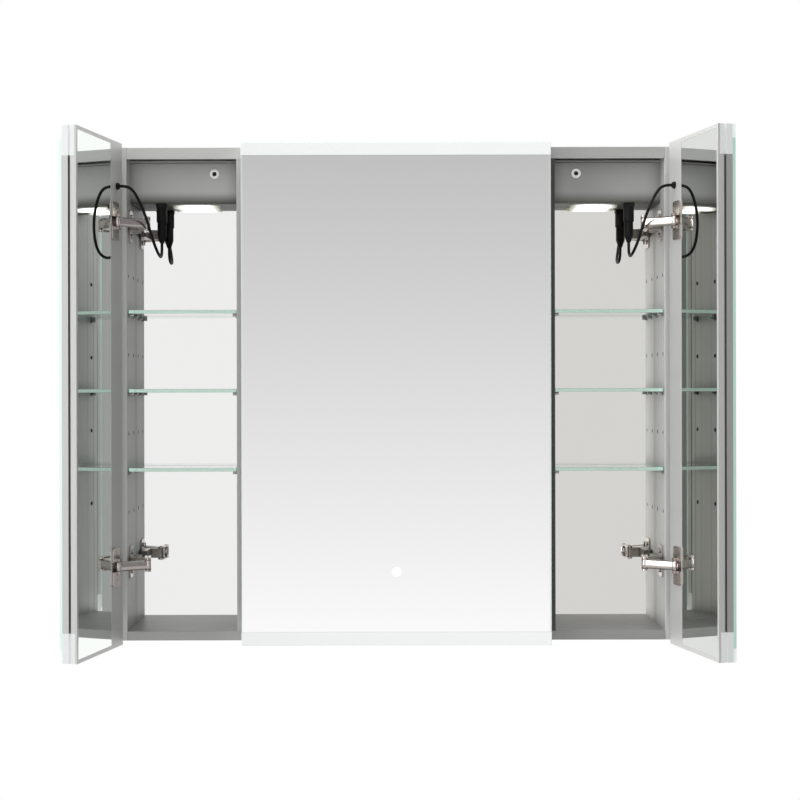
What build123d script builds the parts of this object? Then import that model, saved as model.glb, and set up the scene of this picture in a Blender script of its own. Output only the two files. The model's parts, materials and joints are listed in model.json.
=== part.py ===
from build123d import *
import os
from math import pi, radians, tan

# A three-door mirrored medicine cabinet that hangs on a bathroom wall. Millimetres, +Z up.
# The origin is the middle of the back, on the wall. The doors are in front, towards -Y.
# The two side doors stand open and the centre door is shut.

# Case
case_width = 898
case_height = 808
case_depth = 108
side_wall = 8
partition_thickness = 18
partition_centre = 252  # from the middle of the case to the middle of each partition
top_height = 19
floor_height = 15
skin = 2  # wall of the hollow aluminium sections
back_panel_thickness = 5
back_mirror_thickness = 4

# Light box along the top, one in each compartment
light_gap = 1
light_box_height = 67.5
light_box_setback = 42
fold_radius = 7
sheet = 1.5
front_lip = 3  # the top section is open underneath between this lip and the light boxes
lens_length = 80
lens_width = 20
lens_height = 8
lens_proud = 4.5
lens_setback = 66
lamp_x = 334
board_thickness = 1.6
sensor_x = 301
sensor_z = 366
sensor_radius = 7.8
sensor_eye_radius = 3.6
sensor_proud = 2
centre_sensor_x = 197
driver_size = (120, 40, 26)
driver_lift = 6  # above the LED boards
driver_round = 3
lens_round = 3
board_inset = 1
eye_clearance = 0.1

# Shelves and the pins that hold them
hole_pitch = 65
hole_rows = (-3, -2, -1, 0, 1, 2, 3)
shelf_rows = (-2, 0, 2)
hole_setbacks = (19, 73)
hole_radius = 2.5
hole_depth = 6.5
pin_radius = 2.4
pin_length = 14
pin_in_wall = 6
collar_radius = 3.6
collar_thickness = 1.5
shelf_thickness = 6
shelf_depth = 88
shelf_setback = 8
shelf_end_gap = 2

# Doors
door_gap = 2  # from the case to a shut door, and between two shut doors
door_height = 816
door_thickness = 28.6
side_door_width = 196.5
centre_door_width = 503
front_glass = 5.2
face_frame = 3
face_border = 6
hinge_stile = 50
profile_width = 18
groove_start = 9.5
groove_width = 3.6
groove_depth = 4
diffuser_height = 46
core_start = 12
core_end = 21
strip_width = 10
strip_inset = 4
diffuser_wall = 3  # round the hollow in a frosted light bar
diffuser_cap = 8  # its thickness at the very top or bottom of the door
inner_glass_recess = 0.3
side_door_opening = 101.5
grommet_u = 23
grommet_z = 336
grommet_radius = 6
grommet_height = 4
grommet_taper = 18
touch_radius = 7.5
touch_thickness = 0.4
touch_z = -289

# Concealed hinges, two to a door. Each door turns about a line just outside its hinge edge.
hinge_heights = (278, -278)
side_pivot = (-3.7, -8.6)  # from the inner hinge edge of a shut door to its line of turning
centre_pivot = (-0.8, -29)
side_link_reach = (44, 30)  # from the line of turning to the pivot on the case
centre_link_reach = (28.1, 53)
cup_centre = 34
cup_width = 28
cup_depth = 11
cup_wall = 1.2
cup_half_height = 12.5
flange_height = 62
flange_corner = 4
flange_thickness = 2.5
cup_pivot_u = 28
cup_pivot_proud = 2.5
slot_half_height = 8
ear_radius = 4
bar_half_height = 7.5
bar_width = 7.2
bar_chamfer = 1.8
bar_eye_radius = 5
link_width = 10
link_thickness = 2.5
link_start = 8.7
link_pin_radius = 2
pin_head = 0.8  # how far a pin stands out of the link
running_clearance = 0.08
snug = 0.01  # round a pin that is held fast
arm_half_height = 8.2
arm_radius = 4.6
arm_channel = 14
arm_rear = 66
plate_thickness = 2.5
plate_height = 52
plate_corner = 4
plate_front = 20
plate_rear = 50
screw_spacing = 32
screw_radius = 1.9
screw_hole_radius = 2
screw_head_radius = 3.6
screw_head_height = 2.2
screw_length = 8

# Wall fixings and the supply cable's way in, behind the light boxes
hanging_hole_radius = 4
hanging_spacing = 800
hanging_z = 350
supply_hole_radius = 11
supply_x = 150

# Cables from the light boxes to the side doors
socket_size = 18
socket_height = 5
socket_round = 2
connector_x = 390
connector_setback = 52
connector_radius = 8.8
connector_nose_radius = 7.4
connector_length = 59.5
connector_shoulder = 24  # from the top down to where the body narrows
connector_step = 2  # height of the slope where it narrows
connector_tail = 12  # height of the tapered end
connector_lip = 1  # wall round the cable at the tapered end
cable_radius = 2.4
cable_lead = 13.5  # straight run out of the grommet

# Worked out from the above
front_y = -case_depth
half_width = case_width / 2
half_height = case_height / 2
inner_x = half_width - side_wall
ceiling_z = half_height - top_height
floor_z = floor_height - half_height
mirror_y = -back_panel_thickness - back_mirror_thickness
light_top = ceiling_z - light_gap
light_bottom = light_top - light_box_height
light_y = front_y + light_box_setback
partition_in = partition_centre - partition_thickness / 2
partition_out = partition_centre + partition_thickness / 2
half_door = door_height / 2
door_back = front_y - door_gap
glass_back = door_thickness - front_glass
compartments = {
    "left": (-inner_x, -partition_out),
    "centre": (-partition_in, partition_in),
    "right": (partition_out, inner_x),
}
lamp_places = {"left": -lamp_x, "centre": 0, "right": lamp_x}
sensor_places = {"left": -sensor_x, "centre": centre_sensor_x, "right": sensor_x}

os.makedirs("parts", exist_ok=True)


def save(shape, name):
    shape.label = name
    export_step(shape, f"parts/{name}.step")


def block(low, high, mode=Mode.ADD):
    """A box between two opposite corners."""
    middle = [(a + b) / 2 for a, b in zip(low, high)]
    with Locations(tuple(middle)):
        Box(*(abs(b - a) for a, b in zip(low, high)), mode=mode)


def rod(start, along, radius, length, mode=Mode.ADD):
    """A round rod or hole from a point, along a direction."""
    with BuildSketch(Plane(origin=start, z_dir=along)) as section:
        Circle(radius)
    extrude(section.sketch, amount=length, mode=mode)


# ---------------------------------------------------------------- the case


def wall_holes(face_x, inward):
    """Shelf-pin holes in a wall, bored from the face at face_x. inward points into the wall."""
    for row in hole_rows:
        for setback in hole_setbacks:
            place = (face_x, front_y + setback, row * hole_pitch)
            rod(place, (inward, 0, 0), hole_radius, hole_depth, mode=Mode.SUBTRACT)


def screw_places(z):
    """Where the two screws of a hinge plate are: their Y and Z."""
    y = front_y + (plate_front + plate_rear) / 2
    return [(y, z + screw_spacing / 2), (y, z - screw_spacing / 2)]


def plate_holes(face_x, inward):
    """Screw holes for the hinge plates, bored from the face at face_x."""
    for z in hinge_heights:
        for y, hole_z in screw_places(z):
            place = (face_x, y, hole_z)
            rod(place, (inward, 0, 0), screw_hole_radius, hole_depth, mode=Mode.SUBTRACT)


for name, side in (("left", -1), ("right", 1)):
    with BuildPart() as wall_part:
        block((side * inner_x, front_y, -half_height), (side * half_width, 0, half_height))
        chamfer(wall_part.edges().filter_by(Axis.Z), 0.6)
        wall_holes(side * inner_x, side)
        plate_holes(side * inner_x, side)
    save(wall_part.part, f"side_wall_{name}")

for name, side in (("left", -1), ("right", 1)):
    with BuildPart() as partition:
        block(
            (side * partition_in, front_y, floor_z),
            (side * partition_out, -back_panel_thickness, ceiling_z),
        )
        chamfer(partition.edges().filter_by(Axis.Z), 0.6)
        block(
            (side * (partition_in + skin), front_y + skin, floor_z),
            (side * (partition_out - skin), -back_panel_thickness - skin, ceiling_z),
            mode=Mode.SUBTRACT,
        )
        wall_holes(side * partition_in, side)
        wall_holes(side * partition_out, -side)
        if side < 0:
            plate_holes(side * partition_in, side)
    save(partition.part, f"partition_{name}")

for name, low, high in (
    ("top_panel", ceiling_z, half_height),
    ("bottom_panel", -half_height, floor_z),
):
    with BuildPart() as section:
        block((-inner_x, front_y, low), (inner_x, -back_panel_thickness, high))
        chamfer(section.edges().filter_by(Axis.X), 0.6)
        block(
            (-inner_x, front_y + skin, low + skin),
            (inner_x, -back_panel_thickness - skin, high - skin),
            mode=Mode.SUBTRACT,
        )
        if name == "top_panel":
            for low_x, high_x in compartments.values():
                block(
                    (low_x, front_y + front_lip, low),
                    (high_x, light_y - front_lip, low + skin),
                    mode=Mode.SUBTRACT,
                )
    save(section.part, name)

with BuildPart() as back_panel:
    block((-inner_x, -back_panel_thickness, -half_height), (inner_x, 0, half_height))
    for hole_x, radius in (
        (-hanging_spacing / 2, hanging_hole_radius),
        (hanging_spacing / 2, hanging_hole_radius),
        (supply_x, supply_hole_radius),
    ):
        place = (hole_x, 0, hanging_z)
        rod(place, (0, -1, 0), radius, back_panel_thickness, mode=Mode.SUBTRACT)
save(back_panel.part, "back_panel")

for name, (low_x, high_x) in compartments.items():
    with BuildPart() as back_mirror:
        block((low_x, mirror_y, floor_z), (high_x, -back_panel_thickness, light_bottom))
    save(back_mirror.part, f"back_mirror_{name}")

# ---------------------------------------------------------------- the light boxes

lens_y = (front_y + lens_setback, front_y + lens_setback + lens_width)
socket_y = front_y + connector_setback


def sensor_plane(name, y):
    """The plane of a door sensor's round face at y, facing out of the case."""
    return Plane(origin=(sensor_places[name], y, sensor_z), x_dir=(1, 0, 0), z_dir=(0, -1, 0))


for name, (low_x, high_x) in compartments.items():
    with BuildPart() as light_box:
        with BuildSketch(Plane.YZ.offset(low_x)):
            with BuildLine():
                Polyline(
                    (light_y, light_top),
                    (light_y, light_bottom),
                    (-back_panel_thickness, light_bottom),
                    (-back_panel_thickness, light_bottom + sheet),
                    (light_y + sheet, light_bottom + sheet),
                    (light_y + sheet, light_top),
                    close=True,
                )
            make_face()
        extrude(amount=high_x - low_x)
        inner_fold = light_box.edges().filter_by(Axis.X).group_by(Axis.Z)[1].sort_by(Axis.Y)[0]
        fillet(inner_fold, fold_radius - sheet)
        outer_fold = light_box.edges().filter_by(Axis.X).group_by(Axis.Z)[0].sort_by(Axis.Y)[0]
        fillet(outer_fold, fold_radius)
        lamp = lamp_places[name]
        block(
            (lamp - lens_length / 2, lens_y[0], light_bottom - sheet),
            (lamp + lens_length / 2, lens_y[1], light_bottom + 2 * sheet),
            mode=Mode.SUBTRACT,
        )
        with BuildSketch(sensor_plane(name, light_y - sheet)):
            Circle(sensor_eye_radius + eye_clearance)
        extrude(amount=-3 * sheet, mode=Mode.SUBTRACT)
    save(light_box.part, f"light_box_{name}")

with BuildPart() as light_lenses:
    for lamp in lamp_places.values():
        lens_middle = (lamp, (lens_y[0] + lens_y[1]) / 2, light_bottom - lens_proud)
        with BuildSketch(Plane(origin=lens_middle)):
            SlotOverall(lens_length, lens_width)
        extrude(amount=lens_height)
    fillet(light_lenses.edges().group_by(Axis.Z)[0], lens_round)
save(light_lenses.part, "light_lenses")

with BuildPart() as led_boards:
    board_z = light_bottom - lens_proud + lens_height
    for lamp in lamp_places.values():
        block(
            (lamp - lens_length / 2, lens_y[0] + board_inset, board_z),
            (lamp + lens_length / 2, lens_y[1] - board_inset, board_z + board_thickness),
        )
save(led_boards.part, "led_boards")

with BuildPart() as led_driver:
    driver_z = board_z + board_thickness + driver_size[2] / 2 + driver_lift
    with Locations((supply_x - driver_size[0], -back_panel_thickness - driver_size[1] / 2, driver_z)):
        Box(*driver_size)
    fillet(led_driver.edges().filter_by(Axis.Z), driver_round)
save(led_driver.part, "led_driver")

with BuildPart() as sensor_bezels:
    for name in sensor_places:
        with BuildSketch(sensor_plane(name, light_y)):
            Circle(sensor_radius)
            Circle(sensor_eye_radius + 0.1, mode=Mode.SUBTRACT)
        extrude(amount=sensor_proud)
    fillet(sensor_bezels.edges().filter_by(GeomType.CIRCLE).group_by(Axis.Y)[0], 0.6)
save(sensor_bezels.part, "sensor_bezels")

with BuildPart() as sensor_eyes:
    for name in sensor_places:
        with BuildSketch(sensor_plane(name, light_y + 2 * sheet)):
            Circle(sensor_eye_radius)
        extrude(amount=2 * sheet + sensor_proud - 0.6)
    fillet(sensor_eyes.edges().filter_by(GeomType.CIRCLE).group_by(Axis.Y)[0], 1.2)
save(sensor_eyes.part, "sensor_eyes")

# ---------------------------------------------------------------- shelves

for name, (low_x, high_x) in compartments.items():
    with BuildPart() as shelves:
        for row in shelf_rows:
            shelf_z = row * hole_pitch + pin_radius
            block(
                (low_x + shelf_end_gap, front_y + shelf_setback, shelf_z),
                (high_x - shelf_end_gap, front_y + shelf_setback + shelf_depth, shelf_z + shelf_thickness),
            )
        chamfer(shelves.edges(), 0.4)
    save(shelves.part, f"shelves_{name}")

with BuildPart() as shelf_pins:
    for low_x, high_x in compartments.values():
        for face_x, inward in ((low_x, 1), (high_x, -1)):
            for row in shelf_rows:
                for setback in hole_setbacks:
                    pin_y = front_y + setback
                    pin_z = row * hole_pitch
                    start = (face_x - inward * pin_in_wall, pin_y, pin_z)
                    rod(start, (inward, 0, 0), pin_radius, pin_length)
                    rod((face_x, pin_y, pin_z), (inward, 0, 0), collar_radius, collar_thickness)
save(shelf_pins.part, "shelf_pins")

# ---------------------------------------------------------------- where the doors and hinges are


class Door:
    """A door's places: side is 1 if it's hinged on its left edge, -1 on its right."""

    def __init__(self, name, side, hinge_x, width, pivot, reach, opening, wall_x):
        self.name, self.side, self.width, self.wall_x = name, side, width, wall_x
        shut = Vector(hinge_x, door_back, 0)
        self.pivot = shut + Vector(side * pivot[0], pivot[1], 0)
        turn = -side * opening
        corner = self.pivot + (shut - self.pivot).rotate(Axis.Z, turn)
        along = Vector(side, 0, 0).rotate(Axis.Z, turn)
        self.plane = Plane(origin=corner, x_dir=along, z_dir=(0, 0, 1))
        self.outward = self.plane.y_dir * -side  # from the inner face to the front glass
        # the three pivots of each hinge: on the case, where the two links meet, and in the cup
        offset = Vector(side * reach[0], reach[1], 0)
        self.case_pin = self.pivot + offset
        self.cup_pin = self.place(cup_pivot_u, -cup_pivot_proud, 0)
        self.link_pin = self.cup_pin + offset

    def place(self, u, v, z):
        """A point u from the hinge edge and v in front of the door's inner face."""
        return self.plane.from_local_coords(Vector(u, -self.side * v, z))

    def block(self, low, high, mode=Mode.ADD):
        """A box between two corners given as (u, v, z), in a part built on self.plane."""
        block((low[0], -self.side * low[1], low[2]), (high[0], -self.side * high[1], high[2]), mode)


centre_hinge_x = -centre_door_width / 2
side_hinge_x = -centre_hinge_x + door_gap + side_door_width
doors = [
    Door("left", 1, -side_hinge_x, side_door_width, side_pivot, side_link_reach,
         side_door_opening, -inner_x),
    Door("centre", 1, centre_hinge_x, centre_door_width, centre_pivot, centre_link_reach,
         0, -partition_in),
    Door("right", -1, side_hinge_x, side_door_width, side_pivot, side_link_reach,
         side_door_opening, inner_x),
]

# ---------------------------------------------------------------- hinges, on the case


def upright_pin(point, z, reach):
    """A pin held fast in what is already there, reaching the same distance above and below z."""
    hole_start = (point.X, point.Y, z - reach)
    rod(hole_start, (0, 0, 1), link_pin_radius + snug, 2 * reach, mode=Mode.SUBTRACT)
    pin_start = (point.X, point.Y, z - reach + snug)
    rod(pin_start, (0, 0, 1), link_pin_radius, 2 * (reach - snug))


def arm_outline(door):
    """The plan of a hinge arm: a channel along the wall with a lug out to its front pivot."""
    base_x = door.wall_x + door.side * plate_thickness
    channel_x = door.wall_x + door.side * arm_channel
    pin = door.case_pin
    with Locations(((base_x + channel_x) / 2, (pin.Y + front_y + arm_rear) / 2)):
        Rectangle(abs(channel_x - base_x), front_y + arm_rear - pin.Y + 2 * arm_radius)
    with Locations(((base_x + pin.X) / 2, pin.Y)):
        Rectangle(abs(pin.X - base_x), 2 * arm_radius)
    with Locations((pin.X, pin.Y)):
        Circle(arm_radius)


with BuildPart() as hinge_plates:
    for door in doors:
        for z in hinge_heights:
            middle_y = front_y + (plate_front + plate_rear) / 2
            face = Plane(origin=(door.wall_x, middle_y, z), x_dir=(0, 1, 0), z_dir=(door.side, 0, 0))
            with BuildSketch(face):
                RectangleRounded(plate_rear - plate_front, plate_height, plate_corner)
                with Locations((0, screw_spacing / 2), (0, -screw_spacing / 2)):
                    Circle(screw_hole_radius, mode=Mode.SUBTRACT)
            extrude(amount=plate_thickness)
save(hinge_plates.part, "hinge_plates")

with BuildPart() as hinge_arms:
    for door in doors:
        for z in hinge_heights:
            with BuildSketch(Plane.XY.offset(z - arm_half_height)):
                arm_outline(door)
            extrude(amount=2 * arm_half_height)
            upright_pin(door.case_pin, z, link_start + link_thickness + pin_head)
save(hinge_arms.part, "hinge_arms")

with BuildPart() as hinge_screws:
    for door in doors:
        for z in hinge_heights:
            for y, screw_z in screw_places(z):
                face_x = door.wall_x + door.side * plate_thickness
                start = (face_x - door.side * screw_length, y, screw_z)
                rod(start, (door.side, 0, 0), screw_radius, screw_length)
                rod((face_x, y, screw_z), (door.side, 0, 0), screw_head_radius, screw_head_height)
save(hinge_screws.part, "hinge_screws")

# ---------------------------------------------------------------- doors


def build_door(door):
    width = door.width
    side = door.side
    front = Axis(door.plane.origin, door.outward)

    with BuildPart(door.plane) as front_mirror:
        door.block((0, glass_back, -half_door), (width, door_thickness, half_door))
        chamfer(front_mirror.faces().sort_by(front)[-1].edges(), 0.8)
    save(front_mirror.part, f"{door.name}_front_mirror")

    # upright aluminium profiles at the two edges, each with a groove round the outside
    profile_z = half_door - diffuser_height
    with BuildPart(door.plane) as side_profiles:
        for outer, inner in ((0, profile_width), (width, width - profile_width)):
            toward = 1 if inner > outer else -1
            door.block((outer, face_frame, -profile_z), (inner, glass_back, profile_z))
            door.block(
                (outer, groove_start, -profile_z),
                (outer + toward * groove_depth, groove_start + groove_width, profile_z),
                mode=Mode.SUBTRACT,
            )
    save(side_profiles.part, f"{door.name}_side_profiles")

    # hollow translucent bars across the top and the bottom, with the same groove at their ends
    with BuildPart(door.plane) as diffusers:
        for end in (1, -1):
            outer_z, inner_z = end * half_door, end * profile_z
            door.block((0, face_frame, inner_z), (width, glass_back, outer_z))
            for edge, toward in ((0, 1), (width, -1)):
                door.block(
                    (edge, groove_start, inner_z),
                    (edge + toward * groove_depth, groove_start + groove_width, outer_z),
                    mode=Mode.SUBTRACT,
                )
            door.block(
                (groove_depth + diffuser_wall, face_frame + diffuser_wall, inner_z),
                (
                    width - groove_depth - diffuser_wall,
                    glass_back - diffuser_wall,
                    outer_z - end * diffuser_cap,
                ),
                mode=Mode.SUBTRACT,
            )
    save(diffusers.part, f"{door.name}_diffusers")

    # the backing board behind the front glass, with a light strip on its top and bottom edges
    with BuildPart(door.plane) as backlight:
        door.block(
            (profile_width, core_start, -profile_z), (width - profile_width, core_end, profile_z)
        )
        middle_v = (face_frame + glass_back) / 2
        for end in (1, -1):
            door.block(
                (profile_width + strip_inset, middle_v - strip_width / 2, end * profile_z),
                (
                    width - profile_width - strip_inset,
                    middle_v + strip_width / 2,
                    end * (profile_z + board_thickness),
                ),
            )
    save(backlight.part, f"{door.name}_backlight")

    # the face frame: a wide stile on the hinge side and a thin border on the other three
    with BuildPart(door.plane) as inner_frame:
        door.block((0, 0, -half_door), (width, face_frame, half_door))
        border_z = half_door - face_border
        door.block(
            (hinge_stile, 0, -border_z), (width - face_border, face_frame, border_z), mode=Mode.SUBTRACT
        )
        for z in hinge_heights:
            door.block(
                (cup_centre - cup_width / 2, 0, z - cup_half_height),
                (cup_centre + cup_width / 2, face_frame, z + cup_half_height),
                mode=Mode.SUBTRACT,
            )
            for screw_z in flange_screws(z):
                start = door.place(cup_centre, 0, screw_z)
                rod(start, door.outward, screw_hole_radius, face_frame, mode=Mode.SUBTRACT)
    save(inner_frame.part, f"{door.name}_inner_frame")

    with BuildPart(door.plane) as inner_mirror:
        door.block(
            (hinge_stile, inner_glass_recess, -border_z), (width - face_border, face_frame, border_z)
        )
    save(inner_mirror.part, f"{door.name}_inner_mirror")

    build_cups(door)
    build_links(door)


def flange_screws(z):
    """The heights of the two screws that hold a cup's flange to the stile."""
    offset = (flange_height / 2 + slot_half_height) / 2 + 2
    return (z + offset, z - offset)


def build_cups(door):
    """Each cup with its flange and ears, its cross pin and its two screws."""
    with BuildPart(door.plane) as hinge_cups:
        for z in hinge_heights:
            low_u = cup_centre - cup_width / 2
            high_u = cup_centre + cup_width / 2
            face = Plane(
                origin=door.place(cup_centre, 0, z), x_dir=door.plane.x_dir, z_dir=-door.outward
            )
            with BuildSketch(face):
                RectangleRounded(cup_width, flange_height, flange_corner)
            extrude(amount=flange_thickness)
            door.block((low_u, 0, z - cup_half_height), (high_u, cup_depth, z + cup_half_height))
            # the ears that carry the cross pin
            ear_top = -cup_pivot_proud - ear_radius
            door.block(
                (cup_pivot_u - ear_radius, ear_top, z - cup_half_height),
                (cup_pivot_u + ear_radius, 0, z + cup_half_height),
            )
            # the way through for the bar, and the pocket under it
            door.block(
                (low_u - 1, ear_top - 1, z - slot_half_height),
                (high_u + 1, 0, z + slot_half_height),
                mode=Mode.SUBTRACT,
            )
            door.block(
                (low_u + cup_wall, 0, z - slot_half_height),
                (high_u - cup_wall, cup_depth - cup_wall, z + slot_half_height),
                mode=Mode.SUBTRACT,
            )
            for screw_z in flange_screws(z):
                start = door.place(cup_centre, 0, screw_z)
                rod(start, -door.outward, screw_head_radius + 0.1, flange_thickness, mode=Mode.SUBTRACT)
            upright_pin(door.cup_pin, z, cup_half_height)
            for screw_z in flange_screws(z):
                head = door.place(cup_centre, -screw_head_height, screw_z)
                rod(head, door.outward, screw_head_radius, screw_head_height)
                rod(head, door.outward, screw_radius, screw_length)
    save(hinge_cups.part, f"{door.name}_hinge_cups")


def link_sketch(start, end, base_z, width, eye_radius, hole_radius_at_start, hole_radius_at_end):
    """The plan of a link between two pivots, on a plane at base_z."""
    span = end - start
    length = span.length
    face = Plane(origin=(start.X, start.Y, base_z), x_dir=(span.X, span.Y, 0), z_dir=(0, 0, 1))
    with BuildSketch(face) as plan:
        with Locations((length / 2, 0)):
            Rectangle(length, width)
        with Locations((0, 0), (length, 0)):
            Circle(eye_radius)
        if hole_radius_at_start:
            Circle(hole_radius_at_start, mode=Mode.SUBTRACT)
        if hole_radius_at_end:
            with Locations((length, 0)):
                Circle(hole_radius_at_end, mode=Mode.SUBTRACT)
    return plan.sketch


def build_links(door):
    loose = link_pin_radius + running_clearance
    with BuildPart() as swing_links:
        for z in hinge_heights:
            for base in (z + link_start, z - link_start - link_thickness):
                plan = link_sketch(
                    door.case_pin, door.link_pin, base, link_width, link_width / 2, loose, None
                )
                extrude(plan, amount=link_thickness)
            upright_pin(door.link_pin, z, link_start + link_thickness + pin_head)
    save(swing_links.part, f"{door.name}_swing_links")

    with BuildPart() as bar_links:
        for z in hinge_heights:
            plan = link_sketch(
                door.link_pin, door.cup_pin, z - bar_half_height, bar_width, bar_eye_radius, loose, loose
            )
            extrude(plan, amount=2 * bar_half_height)
        chamfer(bar_links.edges().filter_by(GeomType.LINE).filter_by(Plane.XY), bar_chamfer)
    save(bar_links.part, f"{door.name}_bar_links")


for door in doors:
    build_door(door)

# a rubber grommet in the hinge stile of each side door, where its cable goes in
for door in (doors[0], doors[2]):
    with BuildPart() as grommet:
        face = Plane(origin=door.place(grommet_u, 0, grommet_z), z_dir=-door.outward)
        with BuildSketch(face):
            Circle(grommet_radius)
        extrude(amount=grommet_height, taper=grommet_taper)
    save(grommet.part, f"{door.name}_grommet")

with BuildPart() as touch_sensor:
    centre_door = doors[1]
    middle = centre_door.place(centre_door.width / 2, door_thickness, touch_z)
    with BuildSketch(Plane(origin=middle, z_dir=centre_door.outward)):
        Circle(touch_radius)
    extrude(amount=touch_thickness)
save(touch_sensor.part, "centre_touch_sensor")

# ---------------------------------------------------------------- door cables

connector_top = light_bottom - socket_height
connector_bottom = connector_top - connector_length

with BuildPart() as cable_sockets:
    for x in (-connector_x, connector_x):
        half = socket_size / 2
        block((x - half, socket_y - half, connector_top), (x + half, socket_y + half, light_bottom))
    fillet(cable_sockets.edges().filter_by(Axis.Z), socket_round)
save(cable_sockets.part, "cable_sockets")

with BuildPart() as cable_connectors:
    for x in (-connector_x, connector_x):
        with BuildSketch(Plane(origin=(x, socket_y, 0), x_dir=(1, 0, 0), z_dir=(0, -1, 0))):
            with BuildLine():
                Polyline(
                    (0, connector_top),
                    (connector_radius, connector_top),
                    (connector_radius, connector_top - connector_shoulder),
                    (connector_nose_radius, connector_top - connector_shoulder - connector_step),
                    (connector_nose_radius, connector_bottom + connector_tail),
                    (cable_radius + connector_lip, connector_bottom),
                    (0, connector_bottom),
                    close=True,
                )
            make_face()
        revolve(axis=Axis((x, socket_y, 0), (0, 0, 1)))
save(cable_connectors.part, "cable_connectors")

# The left cable's route: out of the connector, a hanging loop, and up to the door's grommet.
# Each point is (x, distance behind the case's front edge, z).
cable_points = [
    (-390, 52, connector_bottom),
    (-390, 52, 240.6),
    (-389.7, 45.5, 231.2),
    (-389.4, 33.5, 227.2),
    (-389.4, 19, 228),
    (-391, 2.5, 233.5),
    (-394.3, -12.5, 245.5),
    (-398.8, -25, 264),
    (-404.3, -33.5, 286),
    (-412.3, -39.5, 307.5),
    (-422.5, -42.5, 327.5),
]
grommet_face = doors[0].place(grommet_u, -grommet_height, grommet_z)
grommet_lead = doors[0].place(grommet_u, -grommet_height - cable_lead, grommet_z)
left_route = [Vector(x, front_y + back, z) for x, back, z in cable_points]
left_route += [grommet_lead, grommet_face]


def corner_radii(route):
    """The largest arc at each corner: 0.45 of the shorter run over the tangent of half the turn."""
    radii = []
    for before, at, after in zip(route, route[1:], route[2:]):
        turn = (at - before).get_angle(after - at)
        shorter = min((at - before).length, (after - at).length)
        radii.append(0.45 * shorter / tan(radians(turn / 2)))
    return radii


for name, mirrored in (("left", 1), ("right", -1)):
    route = [Vector(mirrored * p.X, p.Y, p.Z) for p in left_route]
    radii = corner_radii(route)
    with BuildPart() as cable:
        with BuildLine() as path:
            FilletPolyline(*route, radius=radii)
        with BuildSketch(Plane(origin=route[0], z_dir=route[1] - route[0])):
            Circle(cable_radius)
        sweep()
    save(cable.part, f"door_cable_{name}")
    length = sum(edge.length for edge in path.edges())
    section = pi * cable_radius**2
    print(name, "cable length", round(length, 1), "radii", [round(r, 1) for r in radii])
    print("  volume", round(cable.part.volume, 1), "section x length", round(section * length, 1))

for door in doors:
    for label, point in (
        ("pivot", door.pivot),
        ("case pin", door.case_pin),
        ("link pin", door.link_pin),
        ("cup pin", door.cup_pin),
    ):
        print(door.name, label, round(point.X, 4), round(point.Y, 4))
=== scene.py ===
import bpy
import bmesh
import json
from math import cos, pi, radians, sin, tan
from mathutils import Matrix, Vector


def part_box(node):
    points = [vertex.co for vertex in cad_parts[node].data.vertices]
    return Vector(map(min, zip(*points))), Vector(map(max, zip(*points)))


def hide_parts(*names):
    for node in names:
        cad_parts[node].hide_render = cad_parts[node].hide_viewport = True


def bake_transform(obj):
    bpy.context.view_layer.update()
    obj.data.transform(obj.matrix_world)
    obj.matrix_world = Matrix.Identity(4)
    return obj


# The looks of a three-door mirrored medicine cabinet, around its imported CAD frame. Metres, +Z up.
# The wall is at Y = 0 and the doors are in front, towards -Y.

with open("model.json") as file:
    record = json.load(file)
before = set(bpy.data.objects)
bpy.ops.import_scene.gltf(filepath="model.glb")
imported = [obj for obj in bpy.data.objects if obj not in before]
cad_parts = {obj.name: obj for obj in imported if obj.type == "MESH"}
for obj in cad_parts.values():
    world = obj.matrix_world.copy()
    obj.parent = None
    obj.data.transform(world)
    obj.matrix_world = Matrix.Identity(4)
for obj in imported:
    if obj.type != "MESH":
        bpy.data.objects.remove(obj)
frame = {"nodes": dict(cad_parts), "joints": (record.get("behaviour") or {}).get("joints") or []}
nodes = frame["nodes"]
scene = bpy.context.scene
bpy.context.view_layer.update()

SIDES = {"left": -1, "right": 1}
DOORS = ("left", "centre", "right")
FRONT_Y = -0.108  # the front of the case
# where the inner face and the hinge edge of each door meet, as the doors stand at rest
DOOR_CORNER = {
    "left": (-0.4460, -0.1239, 0),
    "centre": (-0.2515, -0.1100, 0),
    "right": (0.4460, -0.1239, 0),
}
HALF_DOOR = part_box("centre_front_mirror")[1].z
HOLE_PITCH = 0.065
HOLE_DEPTHS = (0.019, 0.073)  # from the front of the case to the two columns of shelf-pin holes
# how far from each shelf-pin hole's middle the painted shade round it reaches
HOLE_SHADE_RADIUS = 0.0036
HINGE_Z = 0.278  # from the middle of the cabinet up or down to the middle of each hinge
LAMP_X = 0.334  # from the middle of the cabinet to the middle of a side lamp
FROSTED_BAND = 0.021  # height of the frosted band at the top and bottom of each door's front glass
BAND_LINE = 0.0012  # the pale line between the frosted band and the mirror
WALL_INSIDE = 0.4455  # the side walls' outer faces lie further than this from the middle
# each line of painted shade on the walls, standing in for steps in the extrusion: its start and end
# behind the front of the case, and its tone
WALL_LINES = (
    (0.011, 0.0135, 0.72),
    (0.030, 0.0318, 0.80),
    (0.060, 0.0618, 0.80),
    (0.082, 0.084, 0.74),
)
EDGE_LINE_X = (0.24, 0.265)  # the front edge of the right partition
EDGE_LINE_DEPTH = 0.0009
ROWS_END = 3.3  # rows of holes each way from the middle, plus a margin
# the painted shade across the case: where it starts and ends, and how dark it is at the right
DULL_X = (-0.25, 0.25)
DULL_TONE = 0.74
GROOVE = (0.0094, 0.0132)  # in front of a door's inner face
DOOR_THICKNESS = 0.03  # a little more than the real one
# how dark the painted shade in the groove is
GROOVE_TONE = 0.34
# the heights between which the shade painted at the fold of the light boxes fades out, above the fold
FOLD_SHADE_Z = (0.319, 0.338)
LENS_FADE = (0.010, 0.039)  # from the middle of a lens
BAR_HALF_HEIGHT = 0.0078  # a little more than the real one
BAR_CROWN = 0.0042
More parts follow.
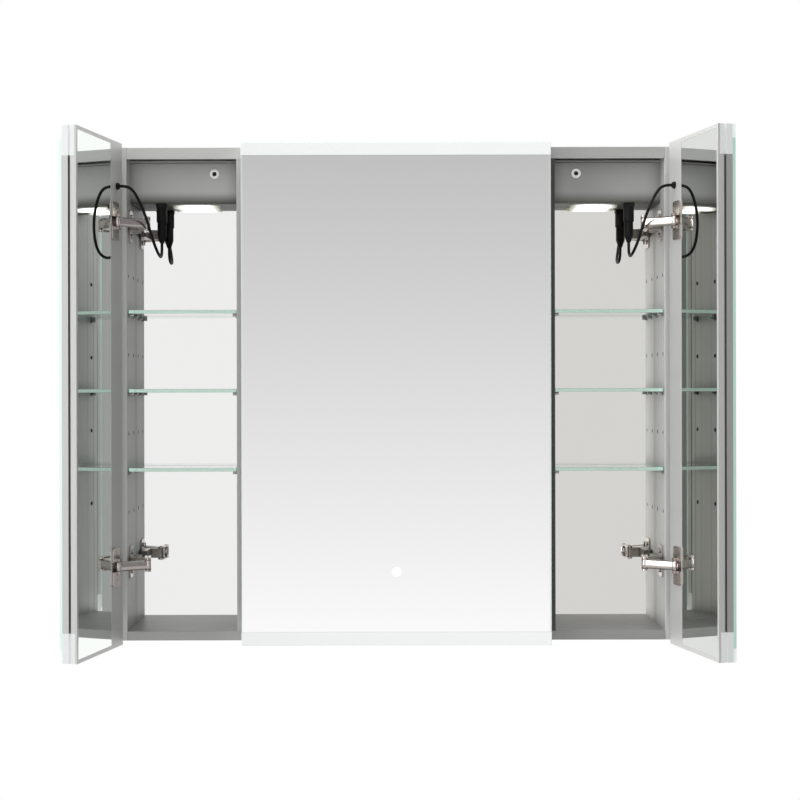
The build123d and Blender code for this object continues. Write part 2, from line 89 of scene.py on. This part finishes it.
# how dark the painted shade in corners and gaps makes the case
CORNER_SHADE_TONE = 0.45


def turned(vector, degrees):
    """A vector turned about the upright axis."""
    return Matrix.Rotation(radians(degrees), 3, "Z") @ Vector(vector)


def door_opening(door):
    """How far a door stands open at rest, in degrees about +Z."""
    joint = next(j for j in frame["joints"] if j["name"] == f"{door}_door_hinge")
    low, high = joint["range_deg"]
    return -joint["axis"][2] * high if low < 0 else 0


OUTWARD = {door: turned((0, -1, 0), door_opening(door)) for door in DOORS}

# ---------------------------------------------------------------- camera


def add_camera():
    data = bpy.data.cameras.new("camera")
    data.lens = 73.1
    data.sensor_width = 36
    data.shift_x = 0.0279
    data.shift_y = -0.0106
    data.clip_end = 50
    camera = bpy.data.objects.new("camera", data)
    camera.location = (-0.030, -2.771, 0.0035)
    camera.rotation_euler = (radians(90), radians(0.12), 0)
    scene.collection.objects.link(camera)
    scene.camera = camera


add_camera()

# ---------------------------------------------------------------- material helpers


class Look:
    """A material with one Principled shader, and short ways to add nodes to it."""

    def __init__(self, name, color, roughness, metallic=0.0):
        self.material = bpy.data.materials.new(name)
        self.material.use_nodes = True
        self.tree = self.material.node_tree
        self.shader = self.tree.nodes["Principled BSDF"]
        self.shader.inputs["Base Color"].default_value = (*color, 1)
        self.shader.inputs["Roughness"].default_value = roughness
        self.shader.inputs["Metallic"].default_value = metallic

    def node(self, kind, **settings):
        made = self.tree.nodes.new(kind)
        for key, value in settings.items():
            setattr(made, key, value)
        return made

    def link(self, output, target):
        self.tree.links.new(output, target)

    def set(self, socket, value):
        self.shader.inputs[socket].default_value = value

    def feed(self, socket, output):
        self.link(output, self.shader.inputs[socket])

    def math(self, operation, first, second=0.0, clamp=False):
        made = self.node("ShaderNodeMath", operation=operation, use_clamp=clamp)
        for place, value in enumerate((first, second)):
            if isinstance(value, (int, float)):
                made.inputs[place].default_value = value
            else:
                self.link(value, made.inputs[place])
        return made.outputs[0]

    def place(self):
        """The point on the object, in the row frame at rest."""
        return self.node("ShaderNodeTexCoord").outputs["Object"]

    def split(self, vector):
        made = self.node("ShaderNodeSeparateXYZ")
        self.link(vector, made.inputs[0])
        return made.outputs

    def noise(self, scale, detail=2.0, stretch=(1, 1, 1)):
        """Noise from 0 to 1, in features about 1 / scale metres across."""
        mapping = self.node("ShaderNodeMapping")
        mapping.inputs["Scale"].default_value = stretch
        self.link(self.place(), mapping.inputs["Vector"])
        made = self.node("ShaderNodeTexNoise")
        made.inputs["Scale"].default_value = scale
        made.inputs["Detail"].default_value = detail
        self.link(mapping.outputs[0], made.inputs["Vector"])
        return made.outputs["Fac"]

    def between(self, amount, low, high):
        """A number from low to high as amount goes from 0 to 1."""
        made = self.node("ShaderNodeMapRange")
        self.link(amount, made.inputs["Value"])
        made.inputs["To Min"].default_value = low
        made.inputs["To Max"].default_value = high
        return made.outputs[0]

    def mix(self, amount, first, second):
        """A colour from first to second as amount goes from 0 to 1."""
        made = self.node("ShaderNodeMix", data_type="RGBA")
        self.link(amount, made.inputs["Factor"])
        for socket, value in (("A", first), ("B", second)):
            target = [s for s in made.inputs if s.name == socket and s.type == "RGBA"][0]
            if isinstance(value, tuple):
                target.default_value = (*value, 1)
            else:
                self.link(value, target)
        return [s for s in made.outputs if s.type == "RGBA"][0]

    def bump(self, height, depth):
        """Relief on the surface, depth metres from 0 to 1 of height."""
        made = self.node("ShaderNodeBump")
        made.inputs["Strength"].default_value = 1.0
        made.inputs["Distance"].default_value = depth
        self.link(height, made.inputs["Height"])
        self.feed("Normal", made.outputs[0])

    def facing(self, direction):
        """1 on faces that look along a direction of the row frame at rest, and 0 on the others."""
        normal = self.node("ShaderNodeTexCoord").outputs["Normal"]
        dot = self.node("ShaderNodeVectorMath", operation="DOT_PRODUCT")
        dot.inputs[1].default_value = direction
        self.link(normal, dot.inputs[0])
        return self.math("GREATER_THAN", dot.outputs["Value"], 0.8)

    def along(self, start, direction):
        """How far the point lies from start along a direction of the row frame at rest."""
        offset = self.node("ShaderNodeVectorMath", operation="SUBTRACT")
        self.link(self.place(), offset.inputs[0])
        offset.inputs[1].default_value = start
        dot = self.node("ShaderNodeVectorMath", operation="DOT_PRODUCT")
        self.link(offset.outputs["Vector"], dot.inputs[0])
        dot.inputs[1].default_value = direction
        return dot.outputs["Value"]

    def band(self, value, start, end):
        """1 where value lies from start to end, and 0 elsewhere."""
        after = self.math("GREATER_THAN", value, start)
        return self.math("MULTIPLY", after, self.math("LESS_THAN", value, end))

    def darken(self, color, amount, share):
        """A colour brought down to share of itself where amount is 1."""
        scale = self.node("ShaderNodeVectorMath", operation="SCALE")
        self.link(color, scale.inputs[0])
        self.link(self.between(amount, 1.0, share), scale.inputs["Scale"])
        return scale.outputs["Vector"]

    def corner_shade(self, reach):
        """Painted shade: from 0 in the open towards 1 in corners and gaps narrower than reach metres.
        """
        made = self.node("ShaderNodeAmbientOcclusion", samples=8)
        made.inputs["Distance"].default_value = reach
        return self.math("SUBTRACT", 1.0, made.outputs["AO"], clamp=True)

    def upright_distance(self):
        """How far the point is above or below the middle of the cabinet."""
        return self.math("ABSOLUTE", self.split(self.place())["Z"])


def varied(color, change):
    """A darker and a lighter neighbour of a colour."""
    return tuple(c * (1 - change) for c in color), tuple(min(1, c * (1 + change)) for c in color)


def paint(names, look):
    """Gives CAD nodes a material in place of their own."""
    for name in names:
        slots = nodes[name].data.materials
        slots.clear()
        slots.append(look.material)


# ---------------------------------------------------------------- materials

MINT = (0.60, 0.76, 0.70)
# Shade painted in, not a property of the object: the doors' parts are given the tones that they
# have under a light from the left, with the doors at rest. They look wrong under another light.
# painted shade in the mirror inside each door
INNER_MIRROR_SHADE = {"left": (0.94, 0.98, 0.94), "centre": (0.82, 0.85, 0.82), "right": (0.69, 0.71, 0.68)}
# the edge of each door's front glass: its colour, and the glow painted on it as light
EDGE_BASE = {"left": (0.74, 0.86, 0.82), "centre": (0.60, 0.74, 0.69), "right": (0.48, 0.64, 0.58)}
EDGE_GLOW = {"left": (0.16, 0.22, 0.20), "centre": (0.08, 0.13, 0.11), "right": (0.12, 0.22, 0.18)}
# the metal of each door's side profiles, in front of the groove
PROFILE_TONE = {"left": 0.94, "centre": 0.9, "right": 0.70}


def wall_lines(look, color):
    """Marks drawn on the walls, with no relief: upright lines of painted shade, and painted shade
    round the shelf-pin holes.
    """
    depth = look.math("SUBTRACT", look.split(look.place())["Y"], FRONT_Y)
    inside = look.math("LESS_THAN", look.math("ABSOLUTE", look.split(look.place())["X"]), WALL_INSIDE)
    # painted shade: darker upright lines standing in for the shade of steps in the extrusion
    for start, end, tone in WALL_LINES:
        line = look.math("MULTIPLY", look.band(depth, start, end), inside)
        color = look.darken(color, line, tone)
    # a dark line down the front edge of the right partition only; what makes it isn't known
    edge = look.math("LESS_THAN", depth, EDGE_LINE_DEPTH)
    dark_line = look.math("MULTIPLY", edge, look.band(look.split(look.place())["X"], *EDGE_LINE_X))
    color = look.darken(color, dark_line, 0.14)
    # painted shade in and round the shelf-pin holes, in two columns, one row every HOLE_PITCH
    height = look.split(look.place())["Z"]
    count = look.math("ROUND", look.math("DIVIDE", height, HOLE_PITCH))
    row = look.math("MULTIPLY", count, HOLE_PITCH)
    rise = look.math("SUBTRACT", height, row)
    first, second = (look.math("ABSOLUTE", look.math("SUBTRACT", depth, d)) for d in HOLE_DEPTHS)
    across = look.math("MINIMUM", first, second)
    off = look.math("ADD", look.math("MULTIPLY", rise, rise), look.math("MULTIPLY", across, across))
    rim = look.math("LESS_THAN", off, HOLE_SHADE_RADIUS**2)
    within = look.math("LESS_THAN", look.upright_distance(), ROWS_END * HOLE_PITCH)
    within = look.math("MULTIPLY", within, inside)
    color = look.darken(color, look.math("MULTIPLY", rim, within), 0.22)
    # painted shade in corners and gaps
    return look.darken(color, look.corner_shade(0.020), CORNER_SHADE_TONE)


def duller_to_right(look, color):
    """Shade painted in, not a property of the finish: the case is lit less towards its right."""
    across = look.node("ShaderNodeMapRange")
    look.link(look.split(look.place())["X"], across.inputs["Value"])
    across.inputs["From Min"].default_value = DULL_X[0]
    across.inputs["From Max"].default_value = DULL_X[1]
    return look.darken(color, across.outputs[0], DULL_TONE)


def profile_lines(door):
    """A door's side profiles: painted shade in the groove, and painted shade in front of it."""

    def shade(look, color):
        depth = look.along(DOOR_CORNER[door], OUTWARD[door])
        # painted shade inside the groove
        color = look.darken(color, look.band(depth, *GROOVE), GROOVE_TONE)
        in_front = look.band(depth, GROOVE[1], DOOR_THICKNESS)
        return look.darken(color, in_front, PROFILE_TONE[door])

    return shade


def anodised(name, color, grain, roughness=0.42, metallic=0.35, shade=None):
    """Satin anodised aluminium with the fine drawn lines of an extrusion. grain is its long axis."""
    look = Look(name, color, roughness, metallic)
    stretch = tuple(0.02 if axis == grain else 1 for axis in "XYZ")
    lines = look.noise(900, 3, stretch)
    cloud = look.noise(6, 2)
    dark, light = varied(color, 0.07)
    tone = look.mix(lines, dark, light)
    dark_cloud, light_cloud = varied(color, 0.035)
    drift = look.mix(cloud, dark_cloud, light_cloud)
    both = look.node("ShaderNodeMix", data_type="RGBA")
    both.inputs["Factor"].default_value = 0.5
    targets = [s for s in both.inputs if s.type == "RGBA"]
    look.link(tone, targets[0])
    look.link(drift, targets[1])
    finish = [s for s in both.outputs if s.type == "RGBA"][0]
    look.feed("Base Color", shade(look, finish) if shade else finish)
    look.feed("Roughness", look.between(lines, roughness - 0.05, roughness + 0.07))
    look.bump(lines, 0.000012)
    return look


def light_box_paint():
    color = (0.66, 0.66, 0.65)
    look = Look("light_box_paint", color, 0.5, 0.2)
    peel = look.noise(700, 2)
    cloud = look.noise(9, 2)
    # shade painted in: darkest at the fold along the lower edge, and fading out above it
    above_fold = look.node("ShaderNodeMapRange", interpolation_type="SMOOTHSTEP")
    look.link(look.split(look.place())["Z"], above_fold.inputs["Value"])
    above_fold.inputs["From Min"].default_value = FOLD_SHADE_Z[0]
    above_fold.inputs["From Max"].default_value = FOLD_SHADE_Z[1]
    coat = duller_to_right(look, look.mix(cloud, *varied(color, 0.05)))
    folded = look.mix(above_fold.outputs[0], (0.21, 0.21, 0.19), coat)
    # painted shade in corners and gaps
    look.feed("Base Color", look.darken(folded, look.corner_shade(0.025), CORNER_SHADE_TONE))
    look.feed("Roughness", look.between(peel, 0.40, 0.52))
    look.bump(peel, 0.00002)
    return look


def silvered(name, direction, tint, glass_edge=MINT):
    """Mirror glass: silver on the face that looks along direction, green glass round its edges, which
    glow with painted light.
    """
    look = Look(name, tint, 0.0, 1.0)
    face = look.facing(direction)
    cloud = look.noise(3, 2)
    dark, light = varied(tint, 0.008)
    look.feed("Base Color", look.mix(face, glass_edge, look.mix(cloud, dark, light)))
    look.feed("Metallic", face)
    look.feed("Roughness", look.between(face, 0.18, 0.004))
    # painted light: the green edges glow
    look.feed("Emission Color", look.mix(face, glass_edge, (0, 0, 0)))
    look.set("Emission Strength", 0.25)
    return look


def front_glass(door):
    """A door's front glass: a mirror with a frosted band, lit from behind, at its top and bottom, and
    painted light on its edges.
    """
    tint = (0.962, 0.960, 0.960)
    look = Look(f"{door}_front_glass", tint, 0.0, 1.0)
    height = look.upright_distance()
    band = look.math("GREATER_THAN", height, HALF_DOOR - FROSTED_BAND)
    line_top = look.math("GREATER_THAN", height, HALF_DOOR - FROSTED_BAND - BAND_LINE)
    face = look.facing(OUTWARD[door])
    silver = look.math("MULTIPLY", face, look.math("SUBTRACT", 1.0, band))
    frost = look.noise(25, 1)
    frosted = look.mix(frost, (0.40, 0.41, 0.41), (0.43, 0.44, 0.44))
    edge = look.mix(band, EDGE_BASE[door], (0.75, 0.86, 0.82))
    lined = look.mix(line_top, tint, (0.80, 0.81, 0.81))
    look.feed("Base Color", look.mix(silver, look.mix(face, edge, frosted), lined))
    look.feed("Metallic", silver)
    look.feed("Roughness", look.between(silver, 0.35, 0.004))
    # painted light on the glass edges; the frosted band glows with the light behind it
    glow = look.mix(face, look.mix(band, EDGE_GLOW[door], (0.30, 0.32, 0.31)), (0.58, 0.59, 0.59))
    look.feed("Emission Color", look.mix(silver, glow, (0, 0, 0)))
    look.set("Emission Strength", 1.0)
    return look


def frosted_acrylic():
    color = (0.84, 0.86, 0.86)
    look = Look("frosted_acrylic", color, 0.4)
    frost = look.noise(1200, 2)
    cloud = look.noise(12, 2)
    look.feed("Base Color", look.mix(frost, *varied(color, 0.03)))
    look.feed("Emission Color", look.mix(cloud, (0.93, 0.95, 0.96), (1, 1, 1)))
    look.set("Emission Strength", 0.12)
    look.bump(frost, 0.00001)
    return look


def lamp_lens():
    """Opal lenses, brightest in the middle of each and fading to their ends."""
    look = Look("lamp_lens", (0.80, 0.80, 0.76), 0.35)
    along = look.math("ABSOLUTE", look.split(look.place())["X"])
    from_side = look.math("ABSOLUTE", look.math("SUBTRACT", along, LAMP_X))
    from_middle = look.math("MINIMUM", along, from_side)
    fade = look.node("ShaderNodeMapRange", interpolation_type="SMOOTHSTEP")
    look.link(from_middle, fade.inputs["Value"])
    fade.inputs["From Min"].default_value = LENS_FADE[0]
    fade.inputs["From Max"].default_value = LENS_FADE[1]
    soft = look.noise(60, 2, (1, 3, 1))
    lit = look.mix(soft, (1.0, 1.0, 0.93), (1.0, 1.0, 0.97))
    look.feed("Emission Color", look.mix(fade.outputs[0], lit, (0.06, 0.06, 0.045)))
    look.set("Emission Strength", 2.3)
    look.bump(look.noise(900, 1), 0.00001)
    return look


def shelf_glass():
    """Clear glass, green where the light runs out of its front and end edges, which glow with painted
    light.
    """
    look = Look("shelf_glass", (1, 1, 1), 0.01)
    normal_z = look.split(look.node("ShaderNodeTexCoord").outputs["Normal"])["Z"]
    broad = look.math("GREATER_THAN", look.math("ABSOLUTE", normal_z), 0.9)
    streaks = look.noise(40, 2, (1, 8, 8))
    normal_x = look.split(look.node("ShaderNodeTexCoord").outputs["Normal"])["X"]
    end = look.math("GREATER_THAN", look.math("ABSOLUTE", normal_x), 0.9)
    front = look.mix(streaks, (0.52, 0.62, 0.58), (0.64, 0.73, 0.69))
    edge = look.mix(end, front, (0.45, 0.72, 0.62))
    look.feed("Base Color", look.mix(broad, edge, (0.93, 0.985, 0.965)))
    look.feed("Roughness", look.between(broad, 0.22, 0.01))
    look.set("Transmission Weight", 1.0)
    look.set("IOR", 1.5)
    # painted light: the front and end edges glow
    edge_glow = look.mix(end, (0.10, 0.12, 0.11), (0.10, 0.19, 0.15))
    look.feed("Emission Color", look.mix(broad, edge_glow, (0, 0, 0)))
    look.set("Emission Strength", 1.0)
    return look


def plated(name, color, roughness, wear=0.08, rounded=False):
    """Plated steel, slightly uneven. A flat bar that is rounded is shaded as if its front curved."""
    look = Look(name, color, roughness, 1.0)
    smudge = look.noise(160, 3)
    marks = look.noise(1400, 3, (1, 1, 0.15))
    plating = look.mix(smudge, *varied(color, wear))
    # painted shade in corners and gaps, strong on the plated parts
    look.feed("Base Color", look.darken(plating, look.corner_shade(0.007), 0.12))
    look.feed("Roughness", look.between(smudge, roughness * 0.7, roughness * 1.4))
    if rounded:
        from_middle = look.math("SUBTRACT", look.upright_distance(), HINGE_Z)
        share = look.math("DIVIDE", from_middle, BAR_HALF_HEIGHT)
        square = look.math("MULTIPLY", share, share)
        crown = look.math("SQRT", look.math("SUBTRACT", 1.0, square, clamp=True))
        look.bump(crown, BAR_CROWN)
    else:
        look.bump(marks, 0.000012)
    return look


def moulded(name, color, roughness, grain_scale=1300, depth=0.00004, glow=None):
    """Moulded plastic or rubber with a fine grain."""
    look = Look(name, color, roughness)
    grain = look.noise(grain_scale, 3)
    cloud = look.noise(70, 2)
    look.feed("Base Color", look.mix(cloud, *varied(color, 0.10)))
    look.feed("Roughness", look.between(grain, roughness * 0.85, roughness * 1.15))
    look.bump(grain, depth)
    look.set("Specular IOR Level", 0.25 if max(color) < 0.02 else 0.5)
    if glow:
        look.feed("Emission Color", look.mix(cloud, *varied(glow, 0.03)))
        look.set("Emission Strength", 1.0)
    return look


ALUMINIUM = (0.72, 0.72, 0.71)
upright_metal = anodised("anodised_upright", ALUMINIUM, "Z")
wall_metal = anodised("anodised_wall", ALUMINIUM, "Z", shade=wall_lines)
level_metal = anodised("anodised_level", ALUMINIUM, "X", shade=duller_to_right)
# painted shade: the bottom panel is given the case's aluminium in a darker tone
floor_metal = anodised("anodised_floor", (0.52, 0.52, 0.505), "X", shade=duller_to_right)
nickel = plated("hinge_nickel", (0.78, 0.70, 0.66), 0.20)
bar_nickel = plated("hinge_bar_nickel", (0.88, 0.81, 0.77), 0.22, rounded=True)
dark_steel = plated("dark_pivot", (0.34, 0.315, 0.29), 0.28)
screw_steel = plated("screw_steel", (0.62, 0.60, 0.57), 0.24)
pin_steel = plated("pin_steel", (0.66, 0.66, 0.64), 0.25)
black_plastic = moulded("black_plastic", (0.006, 0.006, 0.006), 0.5)
cable_sheath = moulded("cable_sheath", (0.005, 0.005, 0.005), 0.45, 900)
grommet_rubber = moulded("grommet_rubber", (0.006, 0.006, 0.006), 0.6)
# painted light: a faint glow that brightens the sensor's white ring
ring_plastic = moulded("sensor_ring", (0.90, 0.90, 0.89), 0.3, glow=(0.22, 0.22, 0.22))
eye_plastic = moulded("sensor_eye", (0.012, 0.012, 0.014), 0.15, depth=0.00001)
touch_plastic = moulded("touch_spot", (0.9, 0.92, 0.93), 0.3, glow=(0.60, 0.63, 0.64))
board_plastic = moulded("backing_board", (0.55, 0.55, 0.53), 0.6)
circuit_board = moulded("circuit_board", (0.6, 0.62, 0.55), 0.5)
driver_case = moulded("driver_case", (0.03, 0.03, 0.03), 0.5)

paint(["side_wall_left", "side_wall_right", "partition_left", "partition_right"], wall_metal)
paint(["top_panel", "back_panel"], level_metal)
paint(["bottom_panel"], floor_metal)
for door in DOORS:
    metal = anodised(f"{door}_profile", ALUMINIUM, "Z", shade=profile_lines(door))
    paint([f"{door}_side_profiles"], metal)
paint([f"{door}_inner_frame" for door in DOORS], upright_metal)
paint([f"light_box_{place}" for place in DOORS], light_box_paint())
paint(["light_lenses"], lamp_lens())
paint(["led_boards"], circuit_board)
paint(["led_driver"], driver_case)
paint(["sensor_bezels"], ring_plastic)
paint(["sensor_eyes"], eye_plastic)
back_silver = silvered("back_mirror", (0, -1, 0), (0.97, 0.97, 0.965))
paint(["back_mirror_left", "back_mirror_centre"], back_silver)
# a warm shade painted in on this side only, which isn't a property of the glass
paint(["back_mirror_right"], silvered("back_mirror_warm", (0, -1, 0), (0.98, 0.97, 0.935)))
paint([f"shelves_{place}" for place in DOORS], shelf_glass())
paint(["shelf_pins"], pin_steel)
paint(["hinge_plates"], nickel)
paint(["hinge_arms"], dark_steel)
paint(["hinge_screws"], screw_steel)
paint(["cable_sockets", "cable_connectors"], black_plastic)
paint(["door_cable_left", "door_cable_right"], cable_sheath)
paint(["left_grommet", "right_grommet"], grommet_rubber)
paint(["centre_touch_sensor"], touch_plastic)
paint([f"{door}_diffusers" for door in DOORS], frosted_acrylic())
paint([f"{door}_backlight" for door in DOORS], board_plastic)
for door in DOORS:
    paint([f"{door}_front_mirror"], front_glass(door))
    inner = silvered(f"{door}_inner_glass", -OUTWARD[door], INNER_MIRROR_SHADE[door])
    paint([f"{door}_inner_mirror"], inner)
    paint([f"{door}_hinge_cups", f"{door}_swing_links"], nickel)
    paint([f"{door}_bar_links"], bar_nickel)

# ---------------------------------------------------------------- door cables

CABLE_DIAMETER = 0.0048
# The left cable, from its connector, down and forward in a loop, and up to the door's grommet.
LEFT_CABLE = [
    (-0.3900, -0.0560, 0.2520),
    (-0.3900, -0.0560, 0.2406),
    (-0.3897, -0.0625, 0.2312),
    (-0.3894, -0.0745, 0.2272),
    (-0.3894, -0.0890, 0.2280),
    (-0.3910, -0.1055, 0.2335),
    (-0.3943, -0.1205, 0.2455),
    (-0.3988, -0.1330, 0.2640),
    (-0.4043, -0.1415, 0.2860),
    (-0.4123, -0.1475, 0.3075),
    (-0.4225, -0.1505, 0.3275),
    (-0.43345, -0.14997, 0.3360),
    (-0.44668, -0.14728, 0.3360),
]


def smooth_line(points):
    """Points along the NURBS spline that has these points as its control points."""
    curve = bpy.data.curves.new("route", "CURVE")
    curve.dimensions = "3D"
    curve.resolution_u = 16
    spline = curve.splines.new("NURBS")
    spline.points.add(len(points) - 1)
    for place, point in zip(spline.points, points):
        place.co = (*point, 1)
    spline.order_u = 3
    spline.use_endpoint_u = True
    holder = bpy.data.objects.new("route", curve)
    scene.collection.objects.link(holder)
    bpy.context.view_layer.update()
    evaluated = holder.evaluated_get(bpy.context.evaluated_depsgraph_get())
    line = bpy.data.meshes.new_from_object(evaluated)
    found = [v.co.copy() for v in line.vertices]
    bpy.data.objects.remove(holder)
    return found


def new_object(name, mesh, look, smooth=True):
    piece = bpy.data.objects.new(name, mesh)
    scene.collection.objects.link(piece)
    mesh.materials.append(look.material)
    for polygon in mesh.polygons:
        polygon.use_smooth = smooth
    return piece


def tube(name, line, radius, look, around=20):
    """A closed round tube that follows a line of points, without twist."""
    mesh = bpy.data.meshes.new(name)
    builder = bmesh.new()
    forward = (line[1] - line[0]).normalized()
    across = forward.orthogonal().normalized()
    rings = []
    for index, point in enumerate(line):
        before = line[max(index - 1, 0)]
        after = line[min(index + 1, len(line) - 1)]
        along = (after - before).normalized()
        across = (across - along * across.dot(along)).normalized()
        other = along.cross(across)
        angles = [2 * pi * step / around for step in range(around)]
        spokes = [cos(angle) * across + sin(angle) * other for angle in angles]
        rings.append([builder.verts.new(point + radius * spoke) for spoke in spokes])
    for first, second in zip(rings, rings[1:]):
        for step in range(around):
            following = (step + 1) % around
            builder.faces.new((first[step], first[following], second[following], second[step]))
    builder.faces.new(reversed(rings[0]))
    builder.faces.new(rings[-1])
    bmesh.ops.recalc_face_normals(builder, faces=builder.faces)
    builder.to_mesh(mesh)
    builder.free()
    return new_object(name, mesh, look)


for name, side in SIDES.items():
    route = [Vector((-side * x, y, z)) for x, y, z in LEFT_CABLE]
    line = smooth_line(route)
    cable = tube(f"door_cable_sheath_{name}", line, CABLE_DIAMETER / 2, cable_sheath)
    # The blend doesn't keep the length: with the door shut the cable is drawn about 14 percent short
    # and uneven in thickness, and with it furthest open about 3 percent long.
    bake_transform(cable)
    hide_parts(f"door_cable_{name}")

# ---------------------------------------------------------------- floor and light


def add_floor():
    """A grey floor, well below the cabinet, which hangs on a wall."""
    bpy.ops.mesh.primitive_plane_add(size=1, location=(0, -0.35, -1.25))
    floor = bpy.context.object
    floor.name = "floor"
    floor.scale = (6, 4.5, 1)
    look = Look("floor", (0.42, 0.42, 0.42), 0.6)
    look.feed("Base Color", look.mix(look.noise(2, 3), (0.40, 0.40, 0.40), (0.44, 0.44, 0.44)))
    floor.data.materials.append(look.material)


def add_world():
    """A soft studio: white behind the cabinet, a tall pale screen in front that greys upwards,
    a bright left side and a dim right side. A dark panel on the left is there for one purpose, to
    keep a white patch out of the mirror on the right door."""
    world = bpy.data.worlds.new("studio")
    scene.world = world
    world.use_nodes = True
    tree = world.node_tree
    background = tree.nodes["Background"]

    def node(kind, **settings):
        made = tree.nodes.new(kind)
        for key, value in settings.items():
            setattr(made, key, value)
        return made

    def calculate(operation, first, second=0.0, clamp=False):
        made = node("ShaderNodeMath", operation=operation, use_clamp=clamp)
        for place, value in enumerate((first, second)):
            if isinstance(value, (int, float)):
                made.inputs[place].default_value = value
            else:
                tree.links.new(value, made.inputs[place])
        return made.outputs[0]

    def step(value, start, end):
        """0 before start and 1 after end."""
        made = node("ShaderNodeMapRange", interpolation_type="SMOOTHSTEP")
        tree.links.new(value, made.inputs["Value"])
        made.inputs["From Min"].default_value = start
        made.inputs["From Max"].default_value = end
        return made.outputs[0]

    def blend(amount, first, second):
        made = node("ShaderNodeMix", data_type="FLOAT")
        tree.links.new(amount, made.inputs["Factor"])
        for place, value in ((2, first), (3, second)):
            if isinstance(value, (int, float)):
                made.inputs[place].default_value = value
            else:
                tree.links.new(value, made.inputs[place])
        return made.outputs[0]

    coordinate = node("ShaderNodeTexCoord").outputs["Generated"]
    parts = node("ShaderNodeSeparateXYZ")
    tree.links.new(coordinate, parts.inputs[0])
    x, y, z = parts.outputs
    azimuth = calculate("ARCTAN2", x, calculate("MULTIPLY", y, -1.0))
    slope = calculate("DIVIDE", z, calculate("MAXIMUM", calculate("MULTIPLY", y, -1.0), 0.05))
    # the side walls of the studio, as seen from the cabinet
    left_far, left_near, panel_tone = 2.6, 0.875, 0.16
    right_near, right_far = 0.665, 0.20
    left_side = blend(step(azimuth, radians(-60), radians(-11)), left_far, left_near)
    panel_start = step(azimuth, radians(-45), radians(-40))
    panel_end = step(azimuth, radians(-24), radians(-28))
    panel = calculate("MULTIPLY", panel_start, panel_end)
    left_side = blend(panel, left_side, panel_tone)
    right_side = blend(step(azimuth, radians(10), radians(45)), right_near, right_far)
    # the screen that the front mirrors show
    low, high = tan(radians(-8.6)), tan(radians(9.0))
    rise = node("ShaderNodeMapRange")
    tree.links.new(slope, rise.inputs["Value"])
    rise.inputs["From Min"].default_value = low
    rise.inputs["From Max"].default_value = high
    rise.inputs["To Min"].default_value = 1.0
    rise.inputs["To Max"].default_value = 0.752
    screen = calculate("POWER", rise.outputs[0], 2.2)
    left_half = blend(step(azimuth, radians(-4.9), radians(-4.7)), left_side, screen)
    front = blend(step(azimuth, radians(6.0), radians(6.15)), left_half, right_side)
    strength = blend(step(y, -0.12, 0.12), front, 1.0)
    tree.links.new(strength, background.inputs["Strength"])
    background.inputs["Color"].default_value = (1, 1, 1, 1)


add_floor()
add_world()
scene.view_settings.view_transform = "Standard"
scene.view_settings.look = "None"
